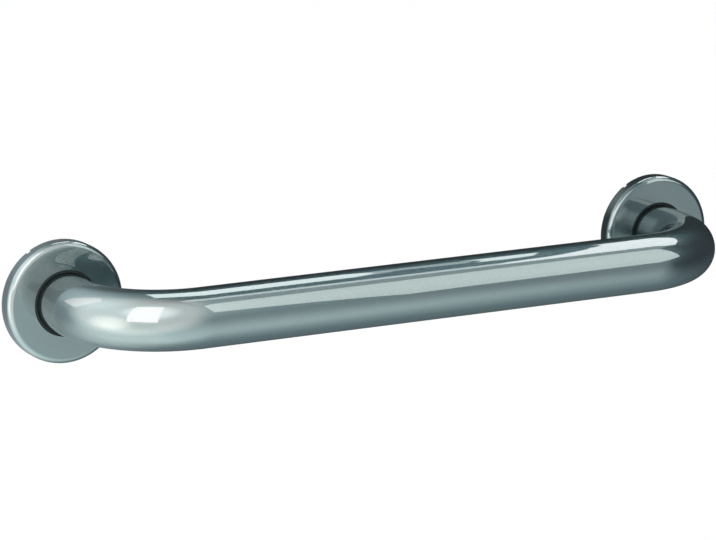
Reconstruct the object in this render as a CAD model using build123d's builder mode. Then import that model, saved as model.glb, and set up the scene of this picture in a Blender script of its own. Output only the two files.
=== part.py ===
from build123d import *
import os

# Grab bar for a shower or bath: one bent tube, welded at each end to a wall plate under a push-on cover.
# The wall is the XZ plane. The bar stands out from it along -Y, X runs along the bar and Z is up.
# The origin lies on the wall, midway between the two flanges. Lengths are in millimetres.

# Rail
tube_diameter = 35.0
tube_wall = 1.5
flange_spacing = 400.0  # from the centre of one flange to the other's
wall_to_rail = 80.0  # from the wall to the rail's centreline
bend_radius = 52.5  # to the tube's centreline
tube_recess = 0.5  # how far the tube's ends stop short of the wall

# Wall plates
plate_thickness = 4.0
bore_clearance = 0.1  # radial, around the tube
plate_lead_in = 0.5  # chamfer that the cover slides over
plate_bevel_width = 1.2  # bevel at the wall side, which the cover's ridge snaps behind
plate_bevel_height = 2.0
weld_leg = 2.5

# Wall screws
screw_count = 3
screw_hole_diameter = 6.5
screw_head_diameter = 12.5
screw_head_angle = 90.0
screw_land = 1.25  # plate left on either side of a screw head

# Covers
cover_sheet = 0.8
cover_fit = 0.2  # radial, between the plate and the cover's rim
cover_headroom = 1.4  # free height between the weld and the seal
cover_edge_radius = 3.5  # the pressed front edge, outside
cut_edge_chamfer = 0.2
snap_ridge_depth = 0.4
snap_ridge_offset = 1.0  # from the wall to the ridge's crest
notch_width = 2.5
notch_depth = 2.0
notch_angle = 122.0  # from +X towards +Z

# Seals
seal_width = 2.0  # the ring that shows between the tube and the cover
seal_clearance = 0.1
seal_flange_width = 2.0
seal_flange_thickness = 1.2
seal_setback = 0.4  # behind the cover's face
seal_edge_chamfer = 0.3

# Radii that follow, from the tube outwards
tube_radius = tube_diameter / 2
weld_radius = tube_radius + weld_leg
screw_circle_radius = weld_radius + screw_land + screw_head_diameter / 2
plate_radius = screw_circle_radius + screw_head_diameter / 2 + screw_land
bore_radius = tube_radius + bore_clearance
cover_inner_radius = plate_radius + cover_fit
cover_radius = cover_inner_radius + cover_sheet
cover_hole_radius = tube_radius + seal_width
seal_inner_radius = tube_radius + seal_clearance
seal_outer_radius = cover_hole_radius - seal_clearance
seal_flange_radius = cover_hole_radius + seal_flange_width

# Heights that follow, from the wall outwards
weld_top = plate_thickness + weld_leg
seal_base = weld_top + cover_headroom
seal_shoulder = seal_base + seal_flange_thickness
cover_inner_height = seal_shoulder + seal_clearance
cover_depth = cover_inner_height + cover_sheet
seal_front = cover_depth - seal_setback

os.makedirs("parts", exist_ok=True)

# Rail tube, bent from one length
with BuildPart() as rail_tube:
    with BuildLine() as rail_path:
        FilletPolyline(
            (-flange_spacing / 2, -tube_recess, 0),
            (-flange_spacing / 2, -wall_to_rail, 0),
            (flange_spacing / 2, -wall_to_rail, 0),
            (flange_spacing / 2, -tube_recess, 0),
            radius=bend_radius,
        )
    with BuildSketch(Plane(origin=rail_path.line @ 0, z_dir=rail_path.line % 0)):
        Circle(tube_radius)
        Circle(tube_radius - tube_wall, mode=Mode.SUBTRACT)
    sweep()
rail_tube.part.label = "rail_tube"
export_step(rail_tube.part, "parts/rail_tube.step")

# The flange at each end, turned about the tube's end
for side_name, side in (("left", -1), ("right", 1)):
    flange_x = side * flange_spacing / 2
    flange_axis = Axis((flange_x, 0, 0), (0, -1, 0))
    # In this half section, x is the radius away from the bar's middle and y the height off the wall
    half_section = Plane(origin=(flange_x, 0, 0), x_dir=(side, 0, 0), z_dir=(0, 0, -side))

    # Wall plate, with one screw outside the rail and two where a driver passes above and below it
    with BuildPart() as wall_plate:
        with BuildSketch(half_section) as plate_section:
            with BuildLine():
                Polyline(
                    (bore_radius, 0),
                    (plate_radius - plate_bevel_width, 0),
                    (plate_radius, plate_bevel_height),
                    (plate_radius, plate_thickness),
                    (bore_radius, plate_thickness),
                    close=True,
                )
            make_face()
            front_rim = plate_section.vertices().group_by(Axis.Y)[-1].sort_by(Axis.X)[-1]
            chamfer(front_rim, plate_lead_in)
        revolve(axis=flange_axis)
        plate_front = Plane(origin=(flange_x, -plate_thickness, 0), x_dir=(side, 0, 0), z_dir=(0, -1, 0))
        with Locations(plate_front):
            with PolarLocations(screw_circle_radius, screw_count):
                CounterSinkHole(
                    screw_hole_diameter / 2,
                    screw_head_diameter / 2,
                    counter_sink_angle=screw_head_angle,
                )
    wall_plate.part.label = f"{side_name}_wall_plate"
    export_step(wall_plate.part, f"parts/{side_name}_wall_plate.step")

    # Fillet weld that joins the tube to the plate
    with BuildPart() as weld_bead:
        with BuildSketch(half_section):
            with BuildLine():
                Polyline(
                    (tube_radius, plate_thickness),
                    (weld_radius, plate_thickness),
                    (tube_radius, weld_top),
                    close=True,
                )
            make_face()
        revolve(axis=flange_axis)
    weld_bead.part.label = f"{side_name}_weld_bead"
    export_step(weld_bead.part, f"parts/{side_name}_weld_bead.step")

    # Cover pressed from sheet, with a snap ridge rolled into its rim and a notch to pry it off by
    with BuildPart() as cover:
        with BuildSketch(half_section) as cover_section:
            with BuildLine():
                Polyline(
                    (cover_inner_radius, 0),
                    (cover_radius, 0),
                    (cover_radius, cover_depth),
                    (cover_hole_radius, cover_depth),
                    (cover_hole_radius, cover_inner_height),
                    (cover_inner_radius, cover_inner_height),
                    (cover_inner_radius, snap_ridge_offset + snap_ridge_depth),
                    (cover_inner_radius - snap_ridge_depth, snap_ridge_offset),
                    (cover_inner_radius, snap_ridge_offset - snap_ridge_depth),
                    close=True,
                )
            make_face()
            inner_corner = cover_section.vertices().group_by(Axis.Y)[-2].sort_by(Axis.X)[-1]
            fillet(inner_corner, cover_edge_radius - cover_sheet)
            hole_edge, outer_corner = cover_section.vertices().group_by(Axis.Y)[-1].sort_by(Axis.X)
            fillet(outer_corner, cover_edge_radius)
            chamfer(hole_edge, cut_edge_chamfer)
        revolve(axis=flange_axis)
        with BuildSketch(Plane(origin=(flange_x, 0, 0), x_dir=(1, 0, 0), z_dir=(0, -1, 0))):
            with PolarLocations(cover_radius, 1, start_angle=notch_angle):
                Rectangle(2 * (cover_sheet + 2 * snap_ridge_depth), notch_width)
        extrude(amount=notch_depth, mode=Mode.SUBTRACT)
    cover.part.label = f"{side_name}_cover"
    export_step(cover.part, f"parts/{side_name}_cover.step")

    # Rubber seal, held in the cover's hole by a flange behind the sheet and closing it on the tube
    with BuildPart() as seal_ring:
        with BuildSketch(half_section) as seal_section:
            with BuildLine():
                Polyline(
                    (seal_inner_radius, seal_base),
                    (seal_flange_radius, seal_base),
                    (seal_flange_radius, seal_shoulder),
                    (seal_outer_radius, seal_shoulder),
                    (seal_outer_radius, seal_front),
                    (seal_inner_radius, seal_front),
                    close=True,
                )
            make_face()
            chamfer(seal_section.vertices().group_by(Axis.Y)[-1], seal_edge_chamfer)
        revolve(axis=flange_axis)
    seal_ring.part.label = f"{side_name}_seal_ring"
    export_step(seal_ring.part, f"parts/{side_name}_seal_ring.step")
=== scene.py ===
# Grab bar for a shower or bath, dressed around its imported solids: a bent tube with a wall plate welded to
# each end, under a pressed cover that a rubber ring closes on the tube. Lengths are in metres. The wall is
# the XZ plane, the bar stands out from it along -Y, X runs along the bar and Z is up.
import math

import bmesh
import bpy
from mathutils import Matrix, Vector


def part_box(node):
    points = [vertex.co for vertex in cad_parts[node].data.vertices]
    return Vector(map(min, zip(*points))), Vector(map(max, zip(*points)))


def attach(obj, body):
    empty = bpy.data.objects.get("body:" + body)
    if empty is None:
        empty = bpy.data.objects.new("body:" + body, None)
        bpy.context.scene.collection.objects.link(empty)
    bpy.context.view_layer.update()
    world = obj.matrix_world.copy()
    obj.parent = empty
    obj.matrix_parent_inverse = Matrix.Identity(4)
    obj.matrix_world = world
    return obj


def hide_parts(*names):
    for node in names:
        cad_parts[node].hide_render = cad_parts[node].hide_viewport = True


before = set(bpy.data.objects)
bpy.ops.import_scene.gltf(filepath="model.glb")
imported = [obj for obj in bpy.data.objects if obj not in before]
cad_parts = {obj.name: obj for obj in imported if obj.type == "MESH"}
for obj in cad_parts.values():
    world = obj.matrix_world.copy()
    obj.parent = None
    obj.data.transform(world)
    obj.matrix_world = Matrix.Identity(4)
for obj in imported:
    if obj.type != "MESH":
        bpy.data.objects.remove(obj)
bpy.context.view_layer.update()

# Rail: one length of round steel tube, bent twice on a former so that both ends come back to the wall.
# Outside it is coated in silver grey, fine metal flakes under a clear gloss. Its bore and cut ends are bare.
mm = 0.001
rail_low, rail_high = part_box("rail_tube")
tube_radius = rail_high.z
tube_end_y = rail_high.y
rail_y = rail_low.y + tube_radius
flange_x = rail_high.x - tube_radius
bend_radius = 52.5 * mm
tube_wall = 1.5 * mm
tube_sides = 128
bend_steps = 45
hold_length = 1 * mm  # short faces at each end of a straight run keep its shading straight
deburr = 0.2 * mm
sharp_angle = math.radians(60)
rail_smooth_angle = math.radians(40)
quarter_turn = math.pi / 2
bend_start_x = flange_x - bend_radius
bend_start_y = rail_y + bend_radius
stub_length = tube_end_y - bend_start_y
into_room = Vector((0, -1, 0))
along_bar = Vector((1, 0, 0))


def open_new_piece(name):
    """Names the primitive just added, puts its place into its mesh and opens it for editing, all selected."""
    piece = bpy.context.object
    piece.name = name
    piece.data.name = name
    bpy.ops.object.transform_apply(location=True, rotation=True, scale=True)
    bpy.ops.object.mode_set(mode="EDIT")
    bpy.ops.mesh.select_all(action="SELECT")
    return piece


def extrude_by(x, y, z):
    """Extrudes what is selected along this vector."""
    bpy.ops.mesh.extrude_region_move(TRANSFORM_OT_translate={"value": (x, y, z)})


def extrude_run(way, length):
    """Extrudes a straight run of tube, with a short stretch held at each end."""
    for part_length in (hold_length, length - 2 * hold_length, hold_length):
        extrude_by(*(way * part_length))


def bend_tube(middle_x):
    """Bends the tube's open end by a quarter turn, about an upright axis between the rail and the wall."""
    bpy.ops.mesh.spin(
        steps=bend_steps, angle=-quarter_turn, center=(middle_x, bend_start_y, 0), axis=(0, 0, 1)
    )


def turn_faces_outwards():
    """Makes every face of the piece that is open for editing point outwards."""
    bpy.ops.mesh.select_all(action="SELECT")
    bpy.ops.mesh.normals_make_consistent(inside=False)


def apply_modifier(piece, kind, **settings):
    """Adds a modifier with these settings and applies it."""
    bpy.ops.object.mode_set(mode="OBJECT")
    modifier = piece.modifiers.new(kind.lower(), kind)
    for setting, value in settings.items():
        setattr(modifier, setting, value)
    bpy.ops.object.modifier_apply(modifier=modifier.name)


def deburr_sharp_edges(width):
    """Bevels every sharp edge, as a file or a tumbler would."""
    bpy.ops.object.mode_set(mode="EDIT")
    bpy.ops.mesh.select_mode(type="EDGE")
    bpy.ops.mesh.select_all(action="DESELECT")
    bpy.ops.mesh.edges_select_sharp(sharpness=sharp_angle)
    bpy.ops.mesh.bevel(offset=width, segments=2)
    bpy.ops.object.mode_set(mode="OBJECT")


bpy.ops.object.select_all(action="DESELECT")
bpy.ops.mesh.primitive_circle_add(
    vertices=tube_sides,
    radius=tube_radius,
    location=(-flange_x, tube_end_y, 0),
    rotation=(quarter_turn, 0, 0),
)
rail = open_new_piece("rail")
extrude_run(into_room, stub_length)
bend_tube(-bend_start_x)
extrude_run(along_bar, 2 * bend_start_x)
bend_tube(bend_start_x)
extrude_run(-into_room, stub_length)
turn_faces_outwards()
apply_modifier(rail, "SOLIDIFY", thickness=tube_wall, offset=-1, use_even_offset=True)
deburr_sharp_edges(deburr)
bpy.ops.object.shade_smooth_by_angle(angle=rail_smooth_angle)

coat_tone = (0.096, 0.147, 0.157)
flakes_per_metre = 2600
flake_tilt = 0.16
flake_contrast = 0.1
flake_edge_tint = (0.2, 0.2, 0.2, 1)  # the flakes shine less at a glancing angle than bare metal does
gloss_roughness = 0.02
gloss_ior = 2.6
usual_noise = (0.3, 0.7)  # the range that most of a noise texture keeps to
grain_stretch = 0.04
grain_depth = 0.02 * mm


def add_node(tree, kind, settings=None, **inputs):
    """Adds a shader node, with its settings and the values of its inputs, whose names have _ for a space."""
    node = tree.nodes.new("ShaderNode" + kind)
    for setting, value in (settings or {}).items():
        setattr(node, setting, value)
    for socket, value in inputs.items():
        node.inputs[socket.replace("_", " ")].default_value = value
    return node


def new_group(name, inputs, outputs):
    """Starts a shader node group with these named sockets, and returns it with its entry and exit nodes."""
    group = bpy.data.node_groups.new(name, "ShaderNodeTree")
    for socket, kind in inputs:
        group.interface.new_socket(socket, in_out="INPUT", socket_type="NodeSocket" + kind)
    for socket, kind in outputs:
        group.interface.new_socket(socket, in_out="OUTPUT", socket_type="NodeSocket" + kind)
    return group, group.nodes.new("NodeGroupInput"), group.nodes.new("NodeGroupOutput")


def use_group(tree, group, vector, **inputs):
    """Places a group in a material, on this vector and with its own values."""
    node = tree.nodes.new("ShaderNodeGroup")
    node.node_tree = group
    tree.links.new(vector, node.inputs["Vector"])
    for socket, value in inputs.items():
        node.inputs[socket.replace("_", " ")].default_value = value
    return node


def make_metal_flakes():
    """Flakes: each small cell of the coat lies at its own slight tilt and has its own shade."""
    group, entry, out = new_group(
        "metal_flakes",
        [("Vector", "Vector"), ("Flakes per Metre", "Float"), ("Tilt", "Float")],
        [("Normal", "Vector"), ("Shade", "Float")],
    )
    cells = add_node(group, "TexVoronoi")
    centred = add_node(group, "VectorMath", {"operation": "SUBTRACT"})
    centred.inputs[1].default_value = (0.5, 0.5, 0.5)
    tilted = add_node(group, "VectorMath", {"operation": "SCALE"})
    surface = add_node(group, "NewGeometry")
    leaned = add_node(group, "VectorMath", {"operation": "ADD"})
    normal = add_node(group, "VectorMath", {"operation": "NORMALIZE"})
    shade = add_node(group, "SeparateColor")
    group.links.new(entry.outputs["Vector"], cells.inputs["Vector"])
    group.links.new(entry.outputs["Flakes per Metre"], cells.inputs["Scale"])
    group.links.new(cells.outputs["Color"], centred.inputs[0])
    group.links.new(centred.outputs["Vector"], tilted.inputs[0])
    group.links.new(entry.outputs["Tilt"], tilted.inputs["Scale"])
    group.links.new(surface.outputs["Normal"], leaned.inputs[0])
    group.links.new(tilted.outputs["Vector"], leaned.inputs[1])
    group.links.new(leaned.outputs["Vector"], normal.inputs[0])
    group.links.new(normal.outputs["Vector"], out.inputs["Normal"])
    group.links.new(cells.outputs["Color"], shade.inputs["Color"])
    group.links.new(shade.outputs["Red"], out.inputs["Shade"])
    return group


def make_uneven_sheen():
    """Sheen: a value that drifts between two limits in soft patches, for roughness that isn't quite even."""
    group, entry, out = new_group(
        "uneven_sheen",
        [("Vector", "Vector"), ("Patches per Metre", "Float"), ("Least", "Float"), ("Most", "Float")],
        [("Value", "Float")],
    )
    patches = add_node(group, "TexNoise", Detail=4)
    limits = add_node(group, "MapRange", From_Min=usual_noise[0], From_Max=usual_noise[1])
    group.links.new(entry.outputs["Vector"], patches.inputs["Vector"])
    group.links.new(entry.outputs["Patches per Metre"], patches.inputs["Scale"])
    group.links.new(patches.outputs["Fac"], limits.inputs["Value"])
    group.links.new(entry.outputs["Least"], limits.inputs["To Min"])
    group.links.new(entry.outputs["Most"], limits.inputs["To Max"])
    group.links.new(limits.outputs["Result"], out.inputs["Value"])
    return group


def make_rolled_grain():
    """Rolled grain: fine streaks along the bar's length, as a height."""
    group, entry, out = new_group(
        "rolled_grain", [("Vector", "Vector"), ("Streaks per Metre", "Float")], [("Height", "Float")]
    )
    stretched = add_node(group, "Mapping", Scale=(grain_stretch, 1, 1))
    streaks = add_node(group, "TexNoise", Detail=3, Roughness=0.6)
    group.links.new(entry.outputs["Vector"], stretched.inputs["Vector"])
    group.links.new(stretched.outputs["Vector"], streaks.inputs["Vector"])
    group.links.new(entry.outputs["Streaks per Metre"], streaks.inputs["Scale"])
    group.links.new(streaks.outputs["Fac"], out.inputs["Height"])
    return group


metal_flakes = make_metal_flakes()
uneven_sheen = make_uneven_sheen()
rolled_grain = make_rolled_grain()


def start_material(name):
    """A new material, its node tree, its shader and the piece's own coordinates."""
    material = bpy.data.materials.new(name)
    material.use_nodes = True
    tree = material.node_tree
    shader = tree.nodes["Principled BSDF"]
    return material, tree, shader, add_node(tree, "TexCoord").outputs["Object"]


def shade_between(tree, factor, dark, light):
    """A colour that runs from dark to light with the factor."""
    ramp = add_node(tree, "ValToRGB")
    ramp.color_ramp.elements[0].color = (*dark, 1)
    ramp.color_ramp.elements[1].color = (*light, 1)
    tree.links.new(factor, ramp.inputs["Fac"])
    return ramp.outputs["Color"]


def coated_metal(name):
    """Silver-grey coat: satin metal flakes under a clear gloss that mirrors the room sharply."""
    material, tree, shader, vector = start_material(name)
    flakes = use_group(tree, metal_flakes, vector, Flakes_per_Metre=flakes_per_metre, Tilt=flake_tilt)
    sheen = use_group(tree, uneven_sheen, vector, Patches_per_Metre=45, Least=0.34, Most=0.38)
    dark = [(1 - flake_contrast) * channel for channel in coat_tone]
    light = [(1 + flake_contrast) * channel for channel in coat_tone]
    tree.links.new(shade_between(tree, flakes.outputs["Shade"], dark, light), shader.inputs["Base Color"])
    tree.links.new(sheen.outputs["Value"], shader.inputs["Roughness"])
    tree.links.new(flakes.outputs["Normal"], shader.inputs["Normal"])
    shader.inputs["Metallic"].default_value = 1
    shader.inputs["Coat Weight"].default_value = 1
    shader.inputs["Coat Roughness"].default_value = gloss_roughness
    shader.inputs["Coat IOR"].default_value = gloss_ior
    shader.inputs["Specular Tint"].default_value = flake_edge_tint
    return material


def bare_steel(name, dark, light, streaks, least, most, metallic):
    """Uncoated steel with the streaks of the rolling mill and a patchy, dull shine."""
    material, tree, shader, vector = start_material(name)
    grain = use_group(tree, rolled_grain, vector, Streaks_per_Metre=streaks)
    sheen = use_group(tree, uneven_sheen, vector, Patches_per_Metre=90, Least=least, Most=most)
    bump = add_node(tree, "Bump", Strength=0.25, Distance=grain_depth)
    tree.links.new(shade_between(tree, grain.outputs["Height"], dark, light), shader.inputs["Base Color"])
    tree.links.new(sheen.outputs["Value"], shader.inputs["Roughness"])
    tree.links.new(grain.outputs["Height"], bump.inputs["Height"])
    tree.links.new(bump.outputs["Normal"], shader.inputs["Normal"])
    shader.inputs["Metallic"].default_value = metallic
    return material


tube_bore = bare_steel(
    "tube_bore",
    dark=(0.2, 0.2, 0.2),
    light=(0.38, 0.38, 0.38),
    streaks=900,
    least=0.45,
    most=0.6,
    metallic=0.8,
)
rail.data.materials.append(coated_metal("rail_coat"))
rail.data.materials.append(tube_bore)
bare_reach = tube_radius - deburr / 2  # what lies nearer to the tube's centreline than this is bare


def distance_from_path(point):
    """How far a point of the rail lies from the tube's centreline."""
    from_middle = abs(point.x)
    if from_middle < bend_start_x:
        return math.hypot(point.y - rail_y, point.z)
    if point.y > bend_start_y:
        return math.hypot(from_middle - flange_x, point.z)
    from_bend_axis = math.hypot(from_middle - bend_start_x, point.y - bend_start_y)
    return math.hypot(from_bend_axis - bend_radius, point.z)


for face in rail.data.polygons:
    face.material_index = 1 if distance_from_path(face.center) < bare_reach else 0
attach(rail, "root")
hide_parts("rail_tube")

# Wall plates: thick steel discs that carry the load, turned from plate, slid onto the tube's ends and screwed
# to the wall through three countersunk holes. Dull pickled steel, under the covers and seen only from behind.
plate_low, plate_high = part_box("left_wall_plate")
plate_radius = plate_high.z
plate_thickness = plate_high.y - plate_low.y
plate_clearance = 0.1 * mm
plate_lead_in = 0.5 * mm
plate_bevel_width = 1.2 * mm
plate_bevel_height = 2 * mm
plate_steps = 144
plate_smooth_angle = math.radians(25)
screw_circle_radius = 27.5 * mm
screw_hole_radius = 3.25 * mm
screw_head_radius = 6.25 * mm
screw_head_depth = screw_head_radius - screw_hole_radius
screw_angles = (0, 120, 240)  # degrees, from straight away from the bar's middle
hole_sides = 50
merge_distance = 0.001 * mm
facing = 0.9  # the least cosine between a face's normal and the way that it faces


def select_where(piece, kind, test):
    """Selects, in edit mode, the vertices, edges or faces that pass the test."""
    bpy.ops.mesh.select_mode(type=kind)
    bpy.ops.mesh.select_all(action="DESELECT")
    shape = bmesh.from_edit_mesh(piece.data)
    parts = {"VERT": shape.verts, "EDGE": shape.edges, "FACE": shape.faces}[kind]
    for part in [part for part in parts if test(part)]:
        part.select_set(True)
    shape.select_flush_mode()
    bmesh.update_edit_mesh(piece.data)


def faces_room(face):
    """True on a face that looks away from the wall."""
    return face.normal.y < -facing


def add_half_section(name, inner, outer, low, high):
    """Starts a turned piece at the left: a rectangle between two radii and two heights off the wall."""
    bpy.ops.object.select_all(action="DESELECT")
    bpy.ops.mesh.primitive_plane_add(
        size=1,
        location=(-flange_x + (inner + outer) / 2, -(low + high) / 2, 0),
    )
    bpy.context.object.scale = (outer - inner, high - low, 1)
    return open_new_piece(name)


def turn_half_section(steps):
    """Turns the section's outline once round the flange's axis."""
    bpy.ops.mesh.select_mode(type="FACE")
    bpy.ops.mesh.select_all(action="SELECT")
    bpy.ops.mesh.delete(type="ONLY_FACE")
    bpy.ops.mesh.select_mode(type="VERT")
    bpy.ops.mesh.select_all(action="SELECT")
    bpy.ops.mesh.spin(steps=steps, angle=2 * math.pi, center=(-flange_x, 0, 0), axis=(0, 1, 0))
    bpy.ops.mesh.select_all(action="SELECT")
    bpy.ops.mesh.remove_doubles(threshold=merge_distance)
    turn_faces_outwards()
    bpy.ops.object.mode_set(mode="OBJECT")


def copy_to_right(piece, name, half_turn=False):
    """Copies a piece of the left flange, with its own mesh, to the right one."""
    bpy.ops.object.select_all(action="DESELECT")
    piece.select_set(True)
    bpy.context.view_layer.objects.active = piece
    bpy.ops.object.duplicate_move(TRANSFORM_OT_translate={"value": (2 * flange_x, 0, 0)})
    copy = bpy.context.object
    copy.name = name
    copy.data.name = name
    bpy.ops.object.transform_apply(location=True, rotation=True, scale=True)
    if half_turn:
        bpy.ops.transform.rotate(value=math.pi, orient_axis="Y", center_override=(flange_x, 0, 0))
        bpy.ops.object.transform_apply(location=True, rotation=True, scale=True)
    return copy


left_plate = add_half_section("left_plate", tube_radius + plate_clearance, plate_radius, 0, plate_thickness)
front_rim = Vector((plate_radius - flange_x, -plate_thickness, 0))
select_where(left_plate, "VERT", lambda vert: (vert.co - front_rim).length < deburr)
bpy.ops.mesh.bevel(offset=plate_lead_in, affect="VERTICES")
bpy.ops.mesh.select_all(action="SELECT")
bpy.ops.mesh.bisect(
    plane_co=(plate_radius - flange_x, -plate_bevel_height, 0),
    plane_no=(plate_bevel_height, plate_bevel_width, 0),
    clear_outer=True,
)
turn_half_section(plate_steps)
for angle in screw_angles:
    outward = math.radians(180 + angle)
    hole_x = -flange_x + screw_circle_radius * math.cos(outward)
    hole_z = screw_circle_radius * math.sin(outward)
    bpy.ops.object.select_all(action="DESELECT")
    bpy.ops.mesh.primitive_cylinder_add(
        vertices=hole_sides,
        radius=screw_hole_radius,
        depth=2 * (plate_thickness - screw_head_depth),
        location=(hole_x, 0, hole_z),
        rotation=(quarter_turn, 0, 0),
    )
    cutter = open_new_piece("screw_cutter")
    select_where(cutter, "FACE", faces_room)
    extrude_by(0, -2 * screw_head_depth, 0)
    wide = (screw_hole_radius + 2 * screw_head_depth) / screw_hole_radius
    bpy.ops.transform.resize(value=(wide, 1, wide), center_override=(hole_x, 0, hole_z))
    turn_faces_outwards()
    bpy.ops.object.mode_set(mode="OBJECT")
    bpy.ops.object.select_all(action="DESELECT")
    bpy.context.view_layer.objects.active = left_plate
    apply_modifier(left_plate, "BOOLEAN", object=cutter, operation="DIFFERENCE", solver="EXACT")
    bpy.data.objects.remove(cutter)
bpy.context.view_layer.objects.active = left_plate
left_plate.select_set(True)
bpy.ops.object.shade_smooth_by_angle(angle=plate_smooth_angle)
plate_steel = bare_steel(
    "plate_steel",
    dark=(0.34, 0.345, 0.35),
    light=(0.6, 0.6, 0.6),
    streaks=1500,
    least=0.38,
    most=0.55,
    metallic=0.55,
)
left_plate.data.materials.append(plate_steel)
right_plate = copy_to_right(left_plate, "right_plate", half_turn=True)
for piece, node in ((left_plate, "left_wall_plate"), (right_plate, "right_wall_plate")):
    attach(piece, "root")
    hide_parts(node)

# Weld beads: fillet welds laid round the tube on the room side of each plate, in one pass of overlapping
# ripples. Weld metal with the straw and blue tints of its heat, under the covers.
weld_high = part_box("left_weld_bead")[1]
weld_leg = weld_high.z - tube_radius
bead_cut = 0.96 * weld_leg  # how far the bevel reaches along both sides from the far corner
bead_segments = 6
bead_profile = 0.3
bead_foot = 0.15 * weld_leg  # the ripples stay this far off the tube and the plate
weld_ripples = 84
ripple_height = 0.12 * mm
ripple_steps = 4
ripple_crest = 1.5 / ripple_steps
ripple_slant = 1.2  # ripples that the bead leans by, from one leg to the other
weld_smooth_angle = math.radians(60)
left_weld = add_half_section(
    "left_weld", tube_radius, tube_radius + weld_leg, plate_thickness, plate_thickness + weld_leg
)
far_corner = Vector((tube_radius + weld_leg - flange_x, -plate_thickness - weld_leg, 0))
select_where(left_weld, "VERT", lambda vert: (vert.co - far_corner).length < deburr)
bpy.ops.mesh.bevel(offset=bead_cut, segments=bead_segments, profile=bead_profile, affect="VERTICES")
turn_half_section(weld_ripples * ripple_steps)


def distance_from_left_axis(point):
    """How far a point lies from the left flange's axis."""
    return math.hypot(point.x + flange_x, point.z)


def on_ripple_crest(vert):
    """True on the bead's open face, where a ripple is highest."""
    angle = math.atan2(vert.co.z, vert.co.x + flange_x)
    reach = distance_from_left_axis(vert.co) - tube_radius
    rise = -vert.co.y - plate_thickness
    phase = angle / (2 * math.pi) * weld_ripples + ripple_slant * (reach - rise) / weld_leg
    return min(reach, rise) > bead_foot and phase % 1 < ripple_crest


bpy.ops.object.mode_set(mode="EDIT")
select_where(left_weld, "VERT", on_ripple_crest)
bpy.ops.transform.shrink_fatten(value=ripple_height)
bpy.ops.object.mode_set(mode="OBJECT")
bpy.ops.object.shade_smooth_by_angle(angle=weld_smooth_angle)


def weld_metal():
    """Weld: bright metal with straw and blue heat tints in soft bands."""
    material, tree, shader, vector = start_material("weld_metal")
    bands = add_node(tree, "TexNoise", Scale=180, Detail=3)
    tint = add_node(tree, "ValToRGB")
    blue, bright = tint.color_ramp.elements
    blue.position = 0.32
    blue.color = (0.16, 0.17, 0.24, 1)
    bright.position = 0.62
    bright.color = (0.55, 0.54, 0.52, 1)
    straw = tint.color_ramp.elements.new(0.46)
    straw.color = (0.5, 0.38, 0.2, 1)
    sheen = use_group(tree, uneven_sheen, vector, Patches_per_Metre=260, Least=0.28, Most=0.5)
    tree.links.new(vector, bands.inputs["Vector"])
    tree.links.new(bands.outputs["Fac"], tint.inputs["Fac"])
    tree.links.new(tint.outputs["Color"], shader.inputs["Base Color"])
    tree.links.new(sheen.outputs["Value"], shader.inputs["Roughness"])
    shader.inputs["Metallic"].default_value = 1
    return material


left_weld.data.materials.append(weld_metal())
right_weld = copy_to_right(left_weld, "right_weld", half_turn=True)
for piece, node in ((left_weld, "left_weld_bead"), (right_weld, "right_weld_bead")):
    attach(piece, "root")
    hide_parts(node)

# Covers: round caps pressed from thin steel sheet, with a rounded front edge, a hole for the tube, a ridge
# rolled into the rim that snaps behind the plate, and a small notch at the wall to pry them off by. They are
# coated as the rail is.
cover_low, cover_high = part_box("left_cover")
cover_radius = cover_high.z
cover_depth = cover_high.y - cover_low.y
cover_hole_radius = tube_radius + 2 * mm
cover_sheet = 0.8 * mm
cover_inner_radius = cover_radius - cover_sheet
cover_edge_radius = 3.5 * mm
cover_edge_segments = 12
cover_deburr = 0.15 * mm
cover_smooth_angle = math.radians(50)
snap_ridge_offset = 1 * mm
snap_ridge_depth = 0.4 * mm
notch_depth = 2 * mm
notch_angle = 122  # degrees, from +X towards +Z
cover_sides = 180
cover_step = 360 / cover_sides  # degrees; the notch is two of them wide
touching = 0.01 * mm
bpy.ops.object.select_all(action="DESELECT")
bpy.ops.mesh.primitive_cylinder_add(
    vertices=cover_sides,
    radius=cover_radius,
    depth=cover_depth,
    location=(-flange_x, -cover_depth / 2, 0),
    rotation=(quarter_turn, 0, 0),
)
left_rose = open_new_piece("left_rose")
select_where(left_rose, "FACE", lambda face: face.normal.y > facing)
bpy.ops.mesh.delete(type="FACE")
select_where(left_rose, "FACE", faces_room)
bpy.ops.mesh.inset(thickness=cover_radius - cover_hole_radius)
bpy.ops.mesh.delete(type="FACE")


def on_front_corner(edge):
    """True on the edge between the cover's face and its rim."""
    ends = [vert.co for vert in edge.verts]
    return all(
        distance_from_left_axis(end) > cover_radius - deburr and end.y < deburr - cover_depth for end in ends
    )


select_where(left_rose, "EDGE", on_front_corner)
bpy.ops.mesh.bevel(offset=cover_edge_radius, segments=cover_edge_segments)
ridge_foot = snap_ridge_offset - snap_ridge_depth
for height in (ridge_foot, snap_ridge_offset, snap_ridge_offset + snap_ridge_depth, notch_depth):
    bpy.ops.mesh.select_all(action="SELECT")
    bpy.ops.mesh.bisect(plane_co=(0, -height, 0), plane_no=(0, 1, 0))


def in_notch(face):
    """True on the two columns of the rim, from the wall to the notch's depth, that the notch takes out."""
    middle = face.calc_center_median()
    angle = math.degrees(math.atan2(middle.z, middle.x + flange_x))
    return abs(angle - notch_angle) < cover_step and middle.y > -notch_depth


select_where(left_rose, "FACE", in_notch)
bpy.ops.mesh.delete(type="FACE")
apply_modifier(left_rose, "SOLIDIFY", thickness=cover_sheet, offset=-1, use_even_offset=True)


def on_ridge_crest(vert):
    """True on the ring inside the rim where the snap ridge stands highest."""
    inside = distance_from_left_axis(vert.co) < cover_radius - cover_sheet / 2
    return inside and abs(vert.co.y + snap_ridge_offset) < touching


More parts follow.
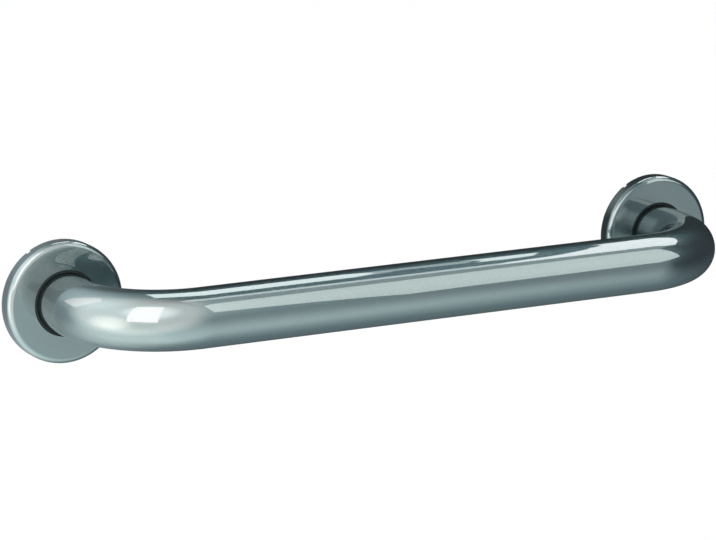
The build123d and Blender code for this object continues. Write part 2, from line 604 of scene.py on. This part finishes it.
bpy.ops.object.mode_set(mode="EDIT")
select_where(left_rose, "VERT", on_ridge_crest)
narrow = 1 - snap_ridge_depth / cover_inner_radius
bpy.ops.transform.resize(value=(narrow, 1, narrow), center_override=(-flange_x, 0, 0))
deburr_sharp_edges(cover_deburr)
bpy.ops.object.shade_smooth_by_angle(angle=cover_smooth_angle)
apply_modifier(left_rose, "WEIGHTED_NORMAL", keep_sharp=True)
left_rose.data.materials.append(coated_metal("cover_coat"))
right_rose = copy_to_right(left_rose, "right_rose")
for piece, node in ((left_rose, "left_cover"), (right_rose, "right_cover")):
    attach(piece, "root")
    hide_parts(node)

# Seal rings: black rubber rings moulded with a flange behind, which is held by the cover's sheet, and a
# rounded lip that closes the cover's hole on the tube.
seal_low, seal_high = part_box("left_seal_ring")
seal_flange_radius = seal_high.z
seal_base = -seal_high.y
seal_front = -seal_low.y
seal_flange_thickness = 1.2 * mm
seal_clearance = 0.1 * mm
seal_outer_radius = cover_hole_radius - seal_clearance
seal_lip_rounding = 0.45 * mm
seal_lip_segments = 5
seal_steps = 144
seal_smooth_angle = math.radians(40)
straight_angle = math.radians(1)  # edges of the outline that turn less than this become one
rubber_skin_depth = 0.02 * mm
left_seal = add_half_section(
    "left_seal", tube_radius + seal_clearance, seal_outer_radius, seal_base, seal_front
)
shoulder_y = -seal_base - seal_flange_thickness
bpy.ops.mesh.bisect(plane_co=(0, shoulder_y, 0), plane_no=(0, 1, 0))


def on_flange_root(edge):
    """True on the section's outer edge, below the shoulder."""
    ends = [vert.co for vert in edge.verts]
    outer_x = seal_outer_radius - flange_x
    return all(abs(end.x - outer_x) < touching and end.y > shoulder_y - touching for end in ends)


select_where(left_seal, "EDGE", on_flange_root)
extrude_by(seal_flange_radius - seal_outer_radius, 0, 0)
select_where(left_seal, "VERT", lambda vert: vert.co.y < touching - seal_front)
bpy.ops.mesh.bevel(offset=seal_lip_rounding, segments=seal_lip_segments, affect="VERTICES")
bpy.ops.mesh.select_mode(type="FACE")
bpy.ops.mesh.select_all(action="SELECT")
bpy.ops.mesh.dissolve_limited(angle_limit=straight_angle)
turn_half_section(seal_steps)
bpy.ops.object.shade_smooth_by_angle(angle=seal_smooth_angle)


def black_rubber():
    """Rubber: matt black with a fine moulded skin and a faint bloom."""
    material, tree, shader, vector = start_material("seal_rubber")
    skin = add_node(tree, "TexNoise", Scale=2500, Detail=2)
    bloom = add_node(tree, "TexNoise", Scale=120, Detail=3)
    sheen = use_group(tree, uneven_sheen, vector, Patches_per_Metre=300, Least=0.5, Most=0.7)
    bump = add_node(tree, "Bump", Strength=0.3, Distance=rubber_skin_depth)
    tree.links.new(vector, skin.inputs["Vector"])
    tree.links.new(vector, bloom.inputs["Vector"])
    colour = shade_between(tree, bloom.outputs["Fac"], (0.006, 0.011, 0.012), (0.012, 0.02, 0.022))
    tree.links.new(colour, shader.inputs["Base Color"])
    tree.links.new(sheen.outputs["Value"], shader.inputs["Roughness"])
    tree.links.new(skin.outputs["Fac"], bump.inputs["Height"])
    tree.links.new(bump.outputs["Normal"], shader.inputs["Normal"])
    shader.inputs["Specular IOR Level"].default_value = 0.3
    return material


left_seal.data.materials.append(black_rubber())
right_seal = copy_to_right(left_seal, "right_seal")
for piece, node in ((left_seal, "left_seal_ring"), (right_seal, "right_seal_ring")):
    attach(piece, "root")
    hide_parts(node)

# Studio: a pale floor, white light from all round, and what only shiny surfaces see: a dark grey tent far off
# with soft glows and softboxes in it, and close round the left bend a thin screen with glows and a window.
# An echo is the share of a light that shows in a reflection of a reflection.
floor_z = -0.85  # such bars are fixed at about this height
floor_size = 60
floor_white = (0.95, 0.95, 0.95, 1)
floor_roughness = 0.9
fill_level = 1.1  # of white, on what scatters light
tent_radius = 8
tent_grey = (0.04, 0.046, 0.05)
tent_echo = 1.4
card_distance = 6
screen_radius = 0.35
screen_grey = (0, 0, 0)
window_echo = 0.3
bar_middle = Vector((0, 0, 0))
bend_middle = Vector((-bend_start_x, bend_start_y, 0))
left_bend = bend_middle + (bend_radius + tube_radius) * Vector((-1, -1, 0)).normalized()
# A glow has an azimuth and an elevation in degrees, the cosine of the angle from there at which it ends, the
# cosine at which it would be full, and the colour that it adds.
tent_glows = {
    "front": (-37, -1, 0.01, 0.36, (0.34, 0.4, 0.41)),
    "below": (85, -88, 0.06, 1.63, (0.57, 0.76, 0.8)),
    "low_front": (-1, -42, 0.52, 1.41, (1.2, 1.38, 1.3)),
    "right": (63, 5, 0.3, 0.71, (0.05, 0.06, 0.07)),
    "high_front_left": (-38, 41, 0.87, 1, (1.25, 1.33, 1.33)),
    "high_back_left": (-140, 50, 0.75, 1, (0.5, 0.6, 0.6)),
}
screen_glows = {
    "key": (-76, -2, 0.89, 1, (1.3, 1.12, 0.92)),
    "high_left": (-51, 29, 0.15, 0.6, (1.1, 1.03, 0.95)),
    "left": (-128, -3, 0.05, 0.6, (0.43, 0.51, 0.53)),
    "low_left": (-86, -51, 0.53, 0.97, (0.62, 0.6, 0.52)),
}

bpy.ops.object.select_all(action="DESELECT")
bpy.ops.mesh.primitive_plane_add(size=floor_size, location=(0, 0, floor_z))
floor = bpy.context.object
floor.name = "floor"
floor.visible_glossy = False
floor_paint = bpy.data.materials.new("floor_paint")
floor_paint.use_nodes = True
floor_shader = floor_paint.node_tree.nodes["Principled BSDF"]
floor_shader.inputs["Base Color"].default_value = floor_white
floor_shader.inputs["Roughness"].default_value = floor_roughness
floor.data.materials.append(floor_paint)


def direction(azimuth, elevation):
    """A unit vector: azimuth 0 points from the wall into the room, 90 along +X."""
    across = math.cos(math.radians(elevation))
    return Vector((
        math.sin(math.radians(azimuth)) * across,
        -math.cos(math.radians(azimuth)) * across,
        math.sin(math.radians(elevation)),
    ))


def show_to_gloss_only(piece):
    """Keeps a card or cloth out of the picture, and its light off all but shiny surfaces."""
    piece.visible_camera = False
    piece.visible_diffuse = False
    piece.visible_transmission = False
    piece.visible_volume_scatter = False
    piece.visible_shadow = False


def start_emission(name):
    """A material that only glows, its node tree and its shader."""
    material = bpy.data.materials.new(name)
    material.use_nodes = True
    tree = material.node_tree
    tree.nodes.clear()
    glow = add_node(tree, "Emission")
    output = add_node(tree, "OutputMaterial")
    tree.links.new(glow.outputs["Emission"], output.inputs["Surface"])
    return material, tree, glow


def set_echo(tree, glow, echo):
    """Sets the share of a light that shows in a reflection of a reflection."""
    share = add_node(tree, "MapRange", From_Min=1, From_Max=2, To_Min=1, To_Max=echo)
    tree.links.new(add_node(tree, "LightPath").outputs["Ray Depth"], share.inputs["Value"])
    tree.links.new(share.outputs["Result"], glow.inputs["Strength"])


def let_through(tree, glow):
    """Makes a cloth thin: it glows on its inner side alone, and what is behind it shows through."""
    both = add_node(tree, "AddShader")
    tree.links.new(add_node(tree, "NewGeometry").outputs["Backfacing"], glow.inputs["Strength"])
    tree.links.new(glow.outputs["Emission"], both.inputs[0])
    tree.links.new(add_node(tree, "BsdfTransparent").outputs["BSDF"], both.inputs[1])
    tree.links.new(both.outputs["Shader"], tree.nodes["Material Output"].inputs["Surface"])


def hang_cloth(name, centre, radius, grey, glows):
    """Hangs a round of cloth that glows in soft patches, and returns its node tree and its shader."""
    bpy.ops.object.select_all(action="DESELECT")
    bpy.ops.mesh.primitive_uv_sphere_add(segments=64, ring_count=32, radius=radius, location=centre)
    cloth = bpy.context.object
    cloth.name = name
    bpy.ops.object.shade_smooth()
    material, tree, glow = start_emission(name)
    outward = add_node(tree, "VectorMath", {"operation": "NORMALIZE"})
    tree.links.new(add_node(tree, "TexCoord").outputs["Object"], outward.inputs[0])
    total = add_node(tree, "RGB").outputs["Color"]
    total.default_value = (*grey, 1)
    for azimuth, elevation, end, full, colour in glows.values():
        nearness = add_node(tree, "VectorMath", {"operation": "DOT_PRODUCT"})
        nearness.inputs[1].default_value = direction(azimuth, elevation)
        ramp = add_node(tree, "MapRange", {"interpolation_type": "SMOOTHSTEP"}, From_Min=end, From_Max=full)
        added = add_node(tree, "VectorMath", {"operation": "MULTIPLY_ADD"})
        added.inputs[1].default_value = colour
        tree.links.new(outward.outputs["Vector"], nearness.inputs[0])
        tree.links.new(nearness.outputs["Value"], ramp.inputs["Value"])
        tree.links.new(ramp.outputs["Result"], added.inputs[0])
        tree.links.new(total, added.inputs[2])
        total = added.outputs["Vector"]
    tree.links.new(total, glow.inputs["Color"])
    cloth.data.materials.append(material)
    show_to_gloss_only(cloth)
    return tree, glow


tent_tree, tent_glow = hang_cloth("tent", bar_middle, tent_radius, tent_grey, tent_glows)
set_echo(tent_tree, tent_glow, tent_echo)
screen_tree, screen_glow = hang_cloth("screen", left_bend, screen_radius, screen_grey, screen_glows)
let_through(screen_tree, screen_glow)


def add_softbox(name, colour, corners, echo=1, seen_from=bar_middle, distance=card_distance):
    """Adds a glowing card whose corners lie in these directions, this far from where it is seen."""
    bpy.ops.object.select_all(action="DESELECT")
    bpy.ops.mesh.primitive_circle_add(vertices=len(corners), fill_type="NGON")
    card = bpy.context.object
    card.name = name
    for vertex, corner in zip(card.data.vertices, corners):
        vertex.co = seen_from + corner * distance
    material, tree, glow = start_emission(name)
    glow.inputs["Color"].default_value = (*colour, 1)
    set_echo(tree, glow, echo)
    card.data.materials.append(material)
    show_to_gloss_only(card)


def around(*corners):
    """Directions from azimuths and elevations in degrees."""
    return [direction(*corner) for corner in corners]


def above(*corners):
    """Directions from places on a ceiling that is one unit up."""
    return [Vector((x, y, 1)).normalized() for x, y in corners]


window = around((-61, 63), (-37, 66.5), (-11, 64), (-25, 6.5), (-57, 7.5))
add_softbox("window", (3.75, 3.45, 3.35), window, window_echo, left_bend, screen_radius)
panel = around(
    (28, 52), (40, 54), (56.5, 51), (57.5, 14), (32.7, 9.5),
    (28.4, 9), (26.8, 7.4), (26.1, 20.3), (25.1, 26.7),
)
add_softbox("panel", (1.86, 2.05, 1.98), panel)
back_panel = around((-139, 21), (-141, 57), (-118, 53), (-115, 40), (-118, 21))
add_softbox("back_panel", (1.4, 1.35, 1.28), back_panel)
left_strip = above((0.04, 0.28), (0.2, 0.73), (0.45, 0.8), (0.62, 0.8), (0.503, 0.26), (0.43, 0.24))
add_softbox("left_strip", (2.68, 2.9, 2.9), left_strip)
link_strip = above((0.505, 0.27), (0.597, 0.7), (0.645, 0.66), (0.571, 0.33), (0.552, 0.44), (0.535, 0.35))
add_softbox("link_strip", (0.95, 1.05, 1.05), link_strip)
middle_strip = above((0.567, 0.28), (0.647, 0.66), (0.682, 0.62), (0.624, 0.41), (0.598, 0.28), (0.58, 0.24))
add_softbox("middle_strip", (2.6, 2.8, 2.8), middle_strip)
right_strip = above(
    (0.55, -0.17), (0.72, -0.215), (0.85, -0.22), (1.08, -0.15), (1.08, 0.15), (1, 0.43),
    (0.8, 0.75), (0.755, 0.73), (0.644, 0.36), (0.606, 0.17), (0.58, 0.01), (0.56, -0.04),
)
add_softbox("right_strip", (3, 3.1, 3.1), right_strip)
near_strip = above((0.08, -0.15), (0.22, -0.06), (0.56, -0.05), (0.56, -0.19), (0.22, -0.19))
add_softbox("near_strip", (1.8, 1.95, 1.95), near_strip)
gap_strip = above(
    (0.1, -0.19), (0.55, -0.19), (0.72, -0.215), (0.85, -0.22),
    (0.77, -0.5), (0.66, -0.46), (0.49, -0.54), (0.3, -0.64),
)
add_softbox("gap_strip", (0.6, 0.65, 0.65), gap_strip)

world = bpy.data.worlds.new("studio")
bpy.context.scene.world = world
world.use_nodes = True
sky_tree = world.node_tree
sky = sky_tree.nodes["Background"]
sky.inputs["Color"].default_value = (1, 1, 1, 1)
path = add_node(sky_tree, "LightPath")
seen = add_node(sky_tree, "Math", {"operation": "MAXIMUM"})
seen_or_through = add_node(sky_tree, "Math", {"operation": "MAXIMUM"})
strength = add_node(sky_tree, "MapRange", To_Min=fill_level, To_Max=1)
sky_tree.links.new(path.outputs["Is Camera Ray"], seen.inputs[0])
sky_tree.links.new(path.outputs["Is Glossy Ray"], seen.inputs[1])
sky_tree.links.new(seen.outputs["Value"], seen_or_through.inputs[0])
sky_tree.links.new(path.outputs["Is Transmission Ray"], seen_or_through.inputs[1])
sky_tree.links.new(seen_or_through.outputs["Value"], strength.inputs["Value"])
sky_tree.links.new(strength.outputs["Result"], sky.inputs["Strength"])
bpy.context.scene.view_settings.view_transform = "Standard"

# Camera: a long lens a little above the bar and to its left, as the photograph was framed. The lens is worked
# out from the width of the picture and the focal length, both in pixels.
image_width = 716
focal_pixels = 3409.8
camera_azimuth = math.radians(-27.12)
camera_elevation = math.radians(12.68)
camera_roll = math.radians(-0.366)
camera_distance = 2055.8 * mm
camera_aim = Vector((-6.5, 0, -3.3)) * mm
bpy.ops.object.camera_add()
camera = bpy.context.object
camera.data.lens = camera.data.sensor_width * focal_pixels / image_width
turn = Matrix.Rotation(camera_azimuth, 4, "Z") @ Matrix.Rotation(quarter_turn - camera_elevation, 4, "X")
back = turn @ Vector((0, 0, 1))
camera.matrix_world = (
    Matrix.Translation(camera_aim + back * camera_distance) @ turn @ Matrix.Rotation(camera_roll, 4, "Z")
)
bpy.context.scene.camera = camera
